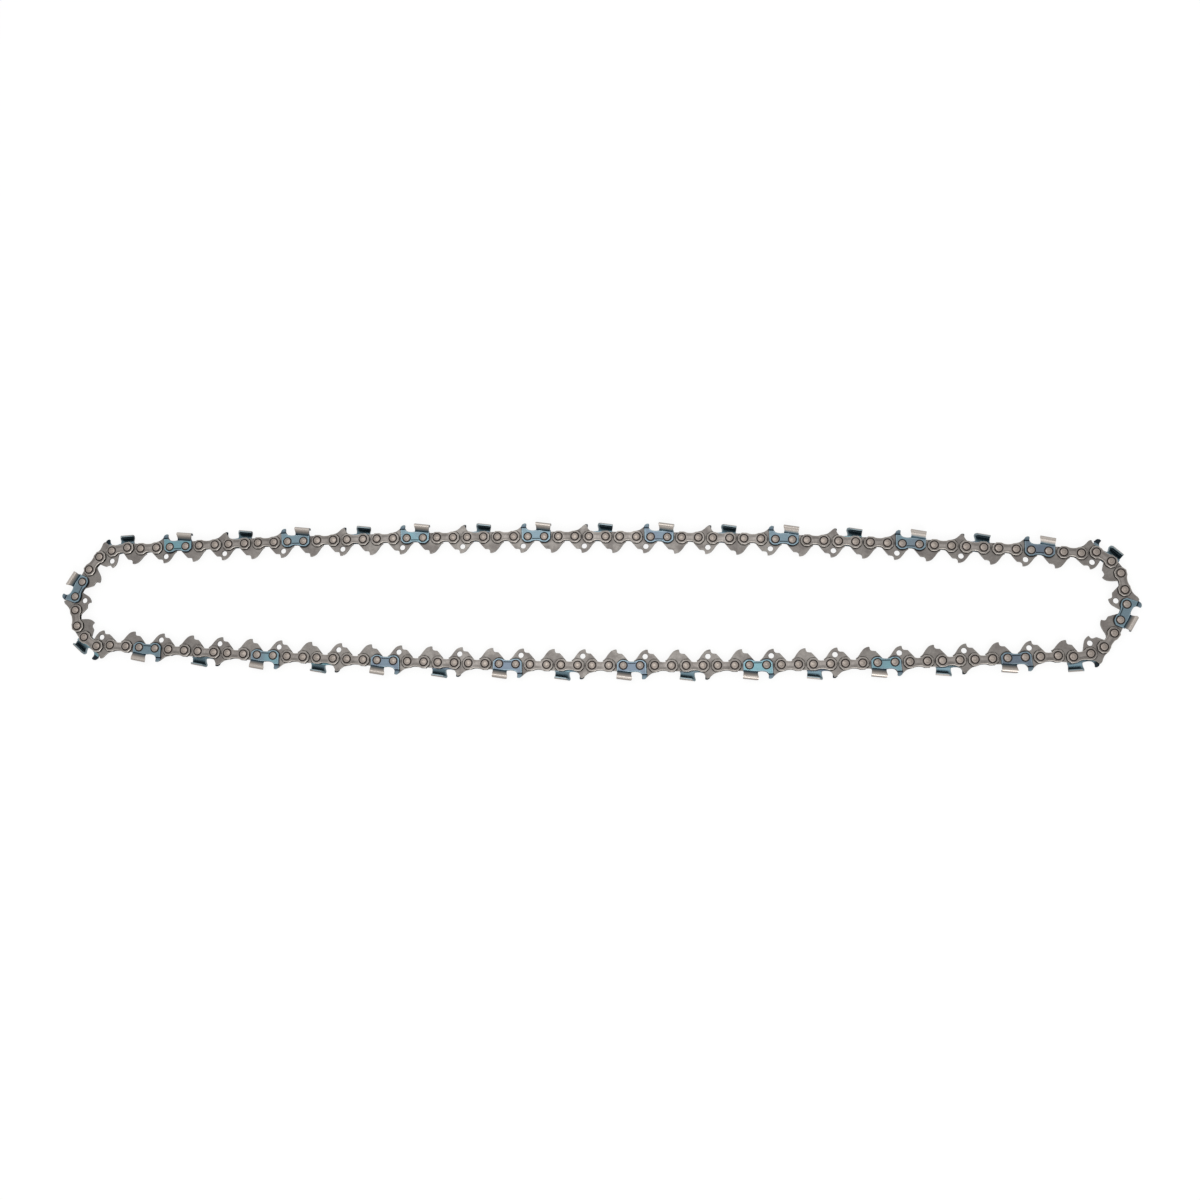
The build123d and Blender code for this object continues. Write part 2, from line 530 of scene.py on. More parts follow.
class LinkPattern(Wiring):
    """Geometry Nodes tree that sets templates on the points of a carrier."""

    POINTS = "Geometry"
    TEMPLATES = "Templates"
    FINISH = "Finish"
    SPREAD = "Tint Spread"
    SEED = "Seed"
    INPUTS = {
        POINTS: "NodeSocketGeometry",
        TEMPLATES: "NodeSocketCollection",
        FINISH: "NodeSocketMaterial",
        SPREAD: "NodeSocketFloat",
        SEED: "NodeSocketInt",
    }

    def __init__(self, name: str) -> None:
        """Make the tree with its named inputs.

        Args:
            name: Name of the tree.
        """
        super().__init__(bpy.data.node_groups.new(name, "GeometryNodeTree"))
        self.identifiers: dict[str, str] = {}
        for label, kind in self.INPUTS.items():
            socket = self.tree.interface.new_socket(label, in_out="INPUT", socket_type=kind)
            self.identifiers[label] = socket.identifier
        self.tree.interface.new_socket(self.POINTS, in_out="OUTPUT", socket_type="NodeSocketGeometry")
        self.wire()

    def read(self, name: str, kind: str) -> Socket:
        """The output that reads an attribute of the carrier's points."""
        return self.node("GeometryNodeInputNamedAttribute", {"Name": name}, data_type=kind)["Attribute"]

    def wire(self) -> None:
        """Instance on the points, give each copy a tint, realize, and set the finish."""
        source = self.node("NodeGroupInput", {})
        templates = self.node("GeometryNodeCollectionInfo", {
            "Collection": source[self.TEMPLATES],
            "Separate Children": True,
            "Reset Children": True,
        })
        turn = self.node("FunctionNodeEulerToRotation", {"Euler": self.read("turn", "FLOAT_VECTOR")})
        copies = self.node("GeometryNodeInstanceOnPoints", {
            "Points": source[self.POINTS],
            "Instance": templates["Instances"],
            "Pick Instance": True,
            "Instance Index": self.read("template", "INT"),
            "Rotation": turn["Rotation"],
        })
        chance = self.node("FunctionNodeRandomValue", {
            2: self.sum("MULTIPLY", source[self.SPREAD], -1),
            3: source[self.SPREAD],
            "ID": self.read("number", "INT"),
            "Seed": source[self.SEED],
        }, data_type="FLOAT")
        tinted = self.node("GeometryNodeStoreNamedAttribute", {
            "Geometry": copies["Instances"],
            "Name": "tint",
            "Value": chance[1],
        }, data_type="FLOAT", domain="INSTANCE")
        real = self.node("GeometryNodeRealizeInstances", {"Geometry": tinted["Geometry"]})
        coated = self.node("GeometryNodeSetMaterial", {
            "Geometry": real["Geometry"],
            "Material": source[self.FINISH],
        })
        self.node("NodeGroupOutput", {self.POINTS: coated["Geometry"]})

    def fill(self, name: str, carrier_mesh: Mesh, settings: dict[str, object]) -> bpy.types.Object:
        """Set copies of the templates on their carrier and turn the result into a plain mesh.

        Args:
            name: Name of the finished piece.
            carrier_mesh: The points that carry the copies.
            settings: Values for the tree's inputs, by their names.

        Returns:
            The finished piece, at the origin, with its place in its mesh.
        """
        carrier = placed(carrier_mesh.name, carrier_mesh)
        modifier = carrier.modifiers.new("pattern", "NODES")
        modifier.node_group = self.tree
        for label, value in settings.items():
            modifier[self.identifiers[label]] = value
        graph = bpy.context.evaluated_depsgraph_get()
        mesh = bpy.data.meshes.new_from_object(
            carrier.evaluated_get(graph), preserve_all_data_layers=True, depsgraph=graph
        )
        mesh.name = name
        carrier.modifiers.remove(modifier)
        bpy.data.objects.remove(carrier)
        return placed(name, mesh)

    @staticmethod
    def carrier(name: str, seats: Sequence[Seat], height: float) -> Mesh:
        """Make the points that carry the copies.

        Args:
            name: Name of the piece.
            seats: Where the copies sit.
            height: Height of the middle plane.

        Returns:
            The points, each with its turn, template and link number.
        """
        points = [seat.place.ahead(seat.along) for seat in seats]
        mesh = bpy.data.meshes.new(f"{name}.carrier")
        mesh.from_pydata([(x * MM, y * MM, height * MM) for x, y in points], [], [])
        turns = [angle for seat in seats for angle in (0, seat.side.value, seat.place.heading)]
        templates = [seat.template for seat in seats]
        numbers = [seat.place.number for seat in seats]
        mesh.attributes.new("turn", "FLOAT_VECTOR", "POINT").data.foreach_set("vector", turns)
        mesh.attributes.new("template", "INT", "POINT").data.foreach_set("value", templates)
        mesh.attributes.new("number", "INT", "POINT").data.foreach_set("value", numbers)
        return mesh


class Bench(Wiring):
    """The node tree of one bare metal while it is put together."""

    def __init__(self, name: str) -> None:
        """Start a material, with a point's place in the whole piece and in its own link.

        Args:
            name: Name of the material.
        """
        self.material = bpy.data.materials.new(name)
        self.material.use_nodes = True
        super().__init__(self.material.node_tree)
        self.place = self.node("ShaderNodeTexCoord", {})["Object"]
        self.local = self.node("ShaderNodeAttribute", {}, attribute_name="local")["Vector"]
        self.along, self.out, _ = self.node("ShaderNodeSeparateXYZ", {0: self.local})

    def attribute(self, name: str) -> Socket:
        """The value of one of the mesh's attributes."""
        return self.node("ShaderNodeAttribute", {}, attribute_name=name)["Fac"]

    def noise(self, grain: Grain, place: Socket | None = None) -> Socket:
        """A noise from 0 to 1, on Object coordinates unless a place is given."""
        inputs = {"Vector": place or self.place, "Scale": grain.scale, "Detail": grain.detail}
        return self.node("ShaderNodeTexNoise", inputs)["Fac"]

    def streaks(self, grain: Grain, stretch: Stretch) -> Socket:
        """A noise that is drawn out along the axes of the link."""
        drawn = self.node("ShaderNodeMapping", {"Vector": self.local, "Scale": stretch})
        return self.noise(grain, drawn["Vector"])

    def radius(self, across: Value, out: Value) -> Socket:
        """How far a place lies from the middle."""
        squares = self.sum("ADD", self.sum("POWER", across, 2), self.sum("POWER", out, 2))
        return self.sum("SQRT", squares)

    def ramp(self, value: Value, step: Step) -> Socket:
        """A smooth step of a value."""
        inputs = {0: value, 1: step.low, 2: step.high, 3: step.start, 4: step.end}
        return self.node("ShaderNodeMapRange", inputs, interpolation_type="SMOOTHSTEP")["Result"]

    def band(self, value: Value, band: Band) -> Socket:
        """1 where a value lies within a band, which falls to 0 outside it."""
        off = self.sum("ABSOLUTE", self.sum("SUBTRACT", value, band.centre))
        return self.ramp(off, Step(band.outer, band.inner))

    def mix(self, factor: Value, first: Value, second: Value) -> Socket:
        """A blend of two colours."""
        return self.node("ShaderNodeMix", {0: factor, 6: first, 7: second}, data_type="RGBA")[2]

    def on(self, zone: Zone, outside: Value, inside: Value) -> Socket:
        """A colour that changes to another one on the faces of a zone."""
        return self.mix(self.attribute(zone.value), outside, inside)

    def shade(self, colour: Value, factor: Value) -> Socket:
        """A colour made lighter or darker by a factor."""
        return self.node("ShaderNodeVectorMath", {0: colour, "Scale": factor}, operation="SCALE")[0]

    def blend_along(self, value: Value, stops: Stops) -> Socket:
        """Blend colours along a value.

        Args:
            value: The value.
            stops: Values in rising order, each with its colour.

        Returns:
            A colour that goes smoothly from stop to stop as the value rises.
        """
        colour: Value = stops[0][1]
        for (low, _), (high, following) in zip(stops, stops[1:]):
            colour = self.mix(self.ramp(value, Step(low, high)), colour, following)
        return colour

    def finish(self, colour: Value, roughness: Value, height: Value, depth: float) -> Material:
        """Wire the shader.

        Args:
            colour: Base colour.
            roughness: Roughness.
            height: Height of the fine relief, from 0 to 1.
            depth: Depth of the relief.

        Returns:
            The finished material.
        """
        bump = self.node("ShaderNodeBump", {"Distance": depth * MM, "Height": height})
        self.supply(self.tree.nodes["Principled BSDF"], {
            "Base Color": colour,
            "Metallic": 1.0,
            "Roughness": roughness,
            "Normal": bump["Normal"],
        })
        return self.material


Marks = Callable[[Bench, Socket], Socket]


@dataclass(frozen=True)
class PlateSteel:
    """Tumbled bare steel of a stamped plate, with a painted highlight on its edge bevels and painted
    shade on its sheared walls.
    """

    name: str
    face: Colour
    stain: Colour
    # edge: painted highlight on the bevels, standing in for their reflection of the bright surroundings
    edge: Colour
    # wall: painted shade on the sheared walls
    wall: Colour
    grain: Grain = Grain(900, 3)
    mottle: Grain = Grain(160, 4)
    stained: Step = Step(0.35, 0.7)
    grained: Step = Step(0.25, 0.75, 0.9, 1.1)
    roughness: Step = Step(0.3, 0.7, 0.35, 0.49)
    relief: float = 0.012

    def build(self, marks: Marks) -> Material:
        """Make the material.

        Args:
            marks: Adds the marks of one kind of plate to its face colour.

        Returns:
            The material.
        """
        bench = Bench(self.name)
        grain = bench.noise(self.grain)
        mottle = bench.noise(self.mottle)
        face = marks(bench, bench.mix(bench.ramp(mottle, self.stained), self.face, self.stain))
        level = bench.sum("ADD", bench.ramp(grain, self.grained), bench.attribute("tint"))
        # Painted highlight on the bevels, then painted shade on the walls.
        colour = bench.on(Zone.EDGE, bench.shade(face, level), bench.shade(self.edge, level))
        colour = bench.on(Zone.WALL, colour, self.wall)
        return bench.finish(colour, bench.ramp(mottle, self.roughness), grain, self.relief)


@dataclass(frozen=True)
class CutterSteel:
    """Blued steel, with chrome plate on the outside of the cutting corner and bare ground edges, and with
    painted light: painted shade on the edges, walls, inside and gauge bend, a painted highlight on the
    rim and a painted reflection on the chrome.
    """

    name: str = "cutter_blue_and_chrome"
    blue: Colour = Colour(104, 122, 131)
    pale: Colour = Colour(107, 141, 149)
    deep: Colour = Colour(98, 109, 121)
    grey: Colour = Colour(106, 113, 123)
    # rim: painted highlight, a light line just inside the edge bevel
    rim: Colour = Colour(131, 151, 160)
    # edge and wall: painted shade along the outline and on the walls
    edge: Colour = Colour(72, 89, 100)
    wall: Colour = Colour(36, 44, 50)
    ground: Colour = Colour(120, 134, 139)
    # gauge: painted shade in a dark line at the bend of the depth gauge, lighter towards its tip
    gauge: Stops = (
        (5.5, Colour(16, 22, 27)),
        (6.1, Colour(84, 99, 110)),
        (7.3, Colour(102, 117, 125)),
        (8.3, Colour(115, 134, 143)),
    )
    # inside: painted shade, darker deeper into the channel under the top plate
    inside: Stops = (
        (5.0, Colour(82, 100, 108)),
        (5.9, Colour(70, 88, 96)),
        (6.4, Colour(64, 79, 86)),
        (8.0, Colour(58, 71, 77)),
    )
    # chrome: painted reflection in bands by height, dark at the bend and brightest near the top
    chrome: Stops = (
        (4.3, Colour(30, 42, 49)),
        (4.6, Colour(48, 62, 70)),
        (5.3, Colour(92, 93, 92)),
        (5.9, Colour(114, 109, 104)),
        (6.6, Colour(145, 138, 132)),
        (7.2, Colour(166, 159, 152)),
        (8.0, Colour(182, 175, 168)),
        (8.5, Colour(162, 154, 147)),
        (8.9, Colour(133, 125, 119)),
    )
    cloud: Grain = Grain(120, 3)
    drifted: Step = Step(0.3, 0.7, -0.25, 0.25)
    paled: Step = Step(0.2, 0.9)
    deepened: Step = Step(-0.2, -0.9)
    patches: Grain = Grain(45, 2)
    greyed: Step = Step(0.5, 0.75, 0, 0.7)
    # Painted shade line along a pressed crease between the rivets.
    crease: Band = Band(-1.3, 0.25, 0.5)
    crease_run: Band = Band(0, 2.2, 2.6)
    crease_shade: Step = Step(0, 1, 1, 0.3)
    streaks: Grain = Grain(3, 2)
    streak_run: Stretch = (0.12, 3, 3)
    streaked: Step = Step(0.3, 0.7, 0.9, 1.09)
    grain: Grain = Grain(1100, 2)
    grained: Step = Step(0.25, 0.75, 0.94, 1.06)
    roughness: Step = Step(0, 1, 0.34, 0.24)
    relief: float = 0.004

    def build(self, fall: float) -> Material:
        """Make the material.

        Args:
            fall: Slope of the top plate, which the bands of the chrome follow.

        Returns:
            The material.
        """
        bench = Bench(self.name)
        sloped = bench.sum("ADD", bench.out, bench.sum("MULTIPLY", bench.along, tan(radians(fall))))
        streaks = bench.ramp(bench.streaks(self.streaks, self.streak_run), self.streaked)
        # The chrome's colour is a painted reflection, banded by sloped height.
        plate = bench.shade(bench.blend_along(sloped, self.chrome), streaks)
        layers: list[tuple[Zone, Value]] = [
            (Zone.RIM, self.rim),
            (Zone.EDGE, self.edge),
            (Zone.GAUGE, bench.blend_along(bench.out, self.gauge)),
            (Zone.INSIDE, bench.blend_along(sloped, self.inside)),
            (Zone.WALL, self.wall),
            (Zone.CHROME, plate),
            (Zone.GROUND, self.ground),
        ]
        colour = self.body(bench)
        for zone, layer in layers:
            colour = bench.on(zone, colour, layer)
        grain = bench.noise(self.grain)
        colour = bench.shade(colour, bench.ramp(grain, self.grained))
        roughness = bench.ramp(bench.attribute(Zone.CHROME.value), self.roughness)
        return bench.finish(colour, roughness, grain, self.relief)

    def body(self, bench: Bench) -> Socket:
        """Wire the blue of the side plate.

        Args:
            bench: The material's node tree.

        Returns:
            The blue, which differs from cutter to cutter and has a painted shade line along a pressed
            crease.
        """
        cloud = bench.ramp(bench.noise(self.cloud), self.drifted)
        drift = bench.sum("ADD", bench.attribute("tint"), cloud)
        colour = bench.mix(bench.ramp(drift, self.paled), self.blue, self.pale)
        colour = bench.mix(bench.ramp(drift, self.deepened), colour, self.deep)
        colour = bench.mix(bench.ramp(bench.noise(self.patches), self.greyed), colour, self.grey)
        # Painted shade in the pressed crease.
        run = bench.band(bench.along, self.crease_run)
        line = bench.sum("MULTIPLY", bench.band(bench.out, self.crease), run)
        return bench.shade(colour, bench.ramp(line, self.crease_shade))


@dataclass(frozen=True)
class RivetSteel:
    """Spun rivet: a pale warm head in a ring painted dark as the shade in the groove round it."""

    name: str = "spun_rivet_steel"
    head: Colour = Colour(151, 142, 134)
    swirl: Colour = Colour(132, 124, 117)
    edge: Colour = Colour(141, 132, 126)
    # ring: painted shade in the groove round the head
    ring: Colour = Colour(54, 49, 46)
    swirled: Band = Band(1.0, 0.05, 0.35)
    grain: Grain = Grain(1000, 3)
    grained: Step = Step(0.3, 0.7, 0.86, 1.1)
    roughness: float = 0.38
    relief: float = 0.012

    def build(self) -> Material:
        """Make the material.

        Returns:
            The material.
        """
        bench = Bench(self.name)
        swirled = bench.band(bench.radius(bench.along, bench.out), self.swirled)
        head = bench.mix(swirled, self.head, self.swirl)
        grain = bench.noise(self.grain)
        level = bench.sum("ADD", bench.ramp(grain, self.grained), bench.attribute("tint"))
        colour = bench.on(Zone.EDGE, bench.shade(head, level), self.edge)
        # The groove round the head gets the painted shade.
        colour = bench.on(Zone.RING, colour, self.ring)
        return bench.finish(colour, self.roughness, grain, self.relief)


class Family:
    """A family of like pieces, made once as templates and set along the chain."""

    title = "family"
    node = ""
    slot = ""
    spread = 0.0
    seed = 0

    def __init__(self, lay: ChainLay, pattern: LinkPattern) -> None:
        """Keep the lay and the pattern that the family follows."""
        self.lay = lay
        self.pattern = pattern

    def templates(self) -> list[Mesh]:
        """The family's template meshes, in the order of their numbers."""
        raise NotImplementedError

    def seats(self, links: Sequence[LinkPlace]) -> list[Seat]:
        """Where the family's copies sit in one section."""
        raise NotImplementedError

    def finish(self) -> Material:
        """The family's material."""
        raise NotImplementedError

    def build(self) -> None:
        """Make one piece for each section, and dress it."""
        collection = bpy.data.collections.new(f"{self.title}.templates")
        bpy.context.scene.collection.children.link(collection)
        for number, mesh in enumerate(self.templates()):
            collection.objects.link(bpy.data.objects.new(f"{self.title}.{number:02d}", mesh))
        pattern = self.pattern
        settings = {
            pattern.TEMPLATES: collection,
            pattern.FINISH: self.finish(),
            pattern.SPREAD: self.spread,
            pattern.SEED: self.seed,
        }
        pieces = []
        for index in range(self.lay.sections):
            name = f"{self.title}_{index + 1:02d}"
            carrier = pattern.carrier(name, self.seats(self.lay.section(index)), self.lay.mid_height)
            pieces.append(pattern.fill(name, carrier, settings))
        for template in list(collection.objects):
            bpy.data.objects.remove(template)
        bpy.data.collections.remove(collection)
        for index, piece in enumerate(pieces):
            self.dress(piece, index + 1)

    def dress(self, piece: bpy.types.Object, number: int) -> None:
        """Let a piece ride on its section and stand for its solids.

        Args:
            piece: The piece.
            number: Number of its section, from 1.
        """
        body = f"section_{number:02d}"
        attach(piece, body)
        if self.node:
            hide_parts(f"{self.node}_{number:02d}")
        LOG.info("%s rides on %s with %d faces", piece.name, body, len(piece.data.polygons))


@dataclass(frozen=True)
class DriveSizes:
    """Sizes of a drive link."""

    gauge: float = 1.27
    end: float = 2.6
    top: float = 3.2
    bevel: float = 0.14
    oil_hole_radius: float = 1.65
    oil_hole_back: float = 1.5
    oil_hole_depth: float = 5.6
    hole_sides: int = 16
    hole_bevel: float = 0.1
    steps: int = 4


class DriveLinks(Family):
    """Drive links: plain ones, and ones with a guard ramp and an oil hole."""

    title = "drive_plates"
    node = "drive_links"
    slot = "drive_link_steel"
    spread = 0.07
    seed = 11
    sizes = DriveSizes()
    # Painted shade round the lobes of the plates on top: darkest at their edge, gone further out.
    lobe_shade_falloff = Step(3.85, 4.5, 0.2, 1)
    steel = PlateSteel(
        name="drive_link_tumbled_steel",
        face=Colour(124, 120, 116),
        stain=Colour(112, 107, 104),
        # edge is a painted highlight on the bevels, wall a painted shade on the walls
        edge=Colour(151, 146, 140),
        wall=Colour(72, 68, 65),
    )

    def tang(self) -> list[Knot]:
        """Draw the tang.

        Returns:
            Its leading side, hook, point and trailing flare.
        """
        return [
            Knot(-7.2, -2.9), soft(-3.75, -6.75), soft(-2.9, -7.15), soft(-1.2, -7.35), soft(-0.35, -8.1),
            Knot(0, -9.68), soft(1.2, -9.6), soft(3.2, -8.7), soft(4.95, -6.75), soft(6.3, -4.75),
            soft(7.3, -3.6), soft(8.1, -3.0), soft(7.3, -1.7),
        ]

    def crown(self, kind: DriveKind) -> list[Knot]:
        """Draw the outer side of a drive link.

        Args:
            kind: Form of the link.

        Returns:
            Its knots from the trailing end back to the leading one.
        """
        end = self.lay.drive_span / 2 + self.sizes.end
        if kind is DriveKind.PLAIN:
            return [
                soft(end, -0.2), soft(end - 0.9, 2.3), Knot(end - 2, self.sizes.top),
                Knot(2 - end, self.sizes.top), soft(0.9 - end, 2.3), soft(-end, -0.6),
            ]
        return [
            soft(end, -0.2), soft(end - 0.5, 2.8), soft(4.3, 4.2), soft(3.1, 5.9), Knot(2.5, 7.45),
            soft(1.9, 7.6), soft(0.6, 7.1), soft(-0.8, 5.8), soft(-2.8, 4.4), soft(0.4 - end, 3.1),
            soft(-end, -0.6),
        ]

    def plate(self, kind: DriveKind) -> Plate:
        """Draw one drive link.

        Args:
            kind: Form of the link.

        Returns:
            The link as a stamped plate.
        """
        sizes = self.sizes
        holes = []
        if kind is DriveKind.BUMPER:
            centre = (sizes.oil_hole_back, -sizes.oil_hole_depth)
            holes.append(circle(*centre, sizes.oil_hole_radius, sizes.hole_sides))
        outline = trace(self.tang() + self.crown(kind), sizes.steps)
        bottom = -sizes.gauge / 2
        return Plate(outline, holes, bottom, sizes.gauge, sizes.bevel, sizes.bevel, sizes.hole_bevel)

    def templates(self) -> list[Mesh]:
        """A plain link and a bumper link."""
        return [finish_template(self.plate(kind).build(), kind.name.lower()) for kind in DriveKind]

    def seats(self, links: Sequence[LinkPlace]) -> list[Seat]:
        """Plain and bumper links by turns."""
        return [Seat(place, template=index % 2) for index, place in enumerate(links[1::2])]

    def finish(self) -> Material:
        """Tumbled steel with painted shade round the lobes of the plates that lie on it."""
        return self.steel.build(self.painted_lobe_shade)

    def painted_lobe_shade(self, bench: Bench, face: Socket) -> Socket:
        """Paint shade on the face just outside the lobes of the neighbouring plates, where they shadow
        it.
        """
        from_rivet = bench.sum("SUBTRACT", bench.sum("ABSOLUTE", bench.along), self.lay.drive_span / 2)
        return bench.shade(face, bench.ramp(bench.radius(from_rivet, bench.out), self.lobe_shade_falloff))


@dataclass(frozen=True)
class StrapSizes:
    """Sizes of a tie strap, and the stack that it lies in."""

    inside: float = 0.655
    thickness: float = 1.2
    end: float = 3.55
    waist_out: float = 2.85
    waist_in: float = 2.25
    bevel: float = 0.3
    under_bevel: float = 0.1
    hole_radius: float = 2.6
    hole_sides: int = 16
    hole_bevel: float = 0.12
    steps: int = 4

    @property
    def flat(self) -> float:
        """Half a flat of an eight-sided lobe."""
        return self.end * tan(pi / 8)

    def plate(self, outline: list[Vector], rivet: float, bevel: float, rim: float = 0) -> Plate:
        """A plate with two rivet holes.

        Args:
            outline: The plate's outline.
            rivet: How far the rivets stand from its middle.
            bevel: Bevel of its outer edges.
            rim: Width of the rim inside the bevel.

        Returns:
            The plate, which lies beside the drive links.
        """
        holes = [circle(x, 0, self.hole_radius, self.hole_sides) for x in (-rivet, rivet)]
        edges = (bevel, self.under_bevel, self.hole_bevel, rim)
        return Plate(outline, holes, self.inside, self.thickness, *edges)


class TieStraps(Family):
    """Tie straps with eight-sided lobes and a waist between the rivets."""

    title = "strap_plates"
    node = "tie_straps"
    slot = "strap_steel"
    spread = 0.08
    seed = 23
    sizes = StrapSizes()
    panel = Band(0, 1.8, 2.4)
    bright = Band(-0.15, 0.6, 1.0)
    streaks = Grain(2, 2)
    streak_run = (3, 0.3, 1)
    brushed = Step(0.3, 0.7, 0.06, 0.3)
    dull = Band(1.6, 0.5, 0.9)
    dulled = -0.18
    steel = PlateSteel(
        name="tie_strap_tumbled_steel",
        face=Colour(129, 124, 120),
        stain=Colour(115, 110, 106),
        # edge is a painted highlight on the bevels, wall a painted shade on the walls
        edge=Colour(182, 176, 169),
        wall=Colour(24, 22, 21),
    )

    def outline(self) -> list[Vector]:
        """Draw a tie strap.

        Returns:
            Two eight-sided lobes, joined by a waist that is deeper on the bar's side.
        """
        sizes = self.sizes
        rivet = self.lay.reach
        flat = sizes.flat
        end = sizes.end
        corners = ((-flat, -end), (flat, -end), (end, -flat), (end, flat), (flat, end), (-flat, end))
        lobe = [Knot(rivet + x, y) for x, y in corners]
        other = [Knot(-knot.x, -knot.y) for knot in lobe]
        waist = rivet - end
        outer = [soft(waist, sizes.waist_out), soft(-waist, sizes.waist_out)]
        inner = [soft(-waist, -sizes.waist_in), soft(waist, -sizes.waist_in)]
        return trace(lobe + outer + other + inner, sizes.steps)

    def templates(self) -> list[Mesh]:
        """One strap, which also lies on the far side when it is turned over."""
        plate = self.sizes.plate(self.outline(), self.lay.reach, self.sizes.bevel)
        return [finish_template(plate.build(), "strap")]

    def seats(self, links: Sequence[LinkPlace]) -> list[Seat]:
        """Seat straps in pairs, and one facing each cutter.

        Args:
            links: The links of one section.

        Returns:
            The seats.
        """
        outer = links[0::2]
        near = [Seat(place) for place in (outer[0], outer[1], outer[3])]
        far = [Seat(place, side=Side.FAR) for place in (outer[1], outer[2], outer[3])]
        return near + far

    def finish(self) -> Material:
        """Tumbled steel with a pressed panel between the rivets."""
        return self.steel.build(self.pressed_panel)

    def pressed_panel(self, bench: Bench, face: Socket) -> Socket:
        """Press a light brushed band between the rivets, with a dull one over it.

        Args:
            bench: The material's node tree.
            face: Colour of the plain face.

        Returns:
            The colour with the panel.
        """
        brushed = bench.ramp(bench.streaks(self.streaks, self.streak_run), self.brushed)
        bright = bench.sum("MULTIPLY", bench.band(bench.out, self.bright), brushed)
        dull = bench.sum("MULTIPLY", bench.band(bench.out, self.dull), self.dulled)
        panel = bench.band(bench.along, self.panel)
        change = bench.sum("MULTIPLY", bench.sum("ADD", bright, dull), panel)
        return bench.shade(face, bench.sum("ADD", change, 1))


@dataclass(frozen=True)
class CutterSizes:
    """Sizes of a cutter."""

    front: float = 3.8
    heel: float = 3.8
    foot: float = 3.25
    waist: float = 2.4
    waist_half: float = 1.3
    body_top: float = 3.95
    bevel: float = 0.25
    rim: float = 0.3
    gauge_crease: float = 5.1
    gauge_bend: float = 0.08
    corner_back: float = 4.8
    top_front: float = -0.8
    top_height: float = 8.42
    top_short: float = 0.4
    half_thickness: float = 0.58
    hollow: float = 0.5
    end_bevel: float = 0.5
    end_margin: float = 0.1
    hook: float = 0.5
    lead: float = 0.75
    overhang: float = 0.6
    fall: float = 7
    edge_angle: float = 30
    bend_height: float = 4.0
    foot_height: float = 3.5
    steps: int = 5


@dataclass(frozen=True)
class CutterFacings:
    """Parts of a face's normal at which one zone of a cutter gives way to the next."""

    wall: float = 0.2
    flat: float = 0.995
    edge: float = 0.93
    front: float = -0.5
    heel: float = 0.6
    outside: float = 0.15
    upward: float = 0.6


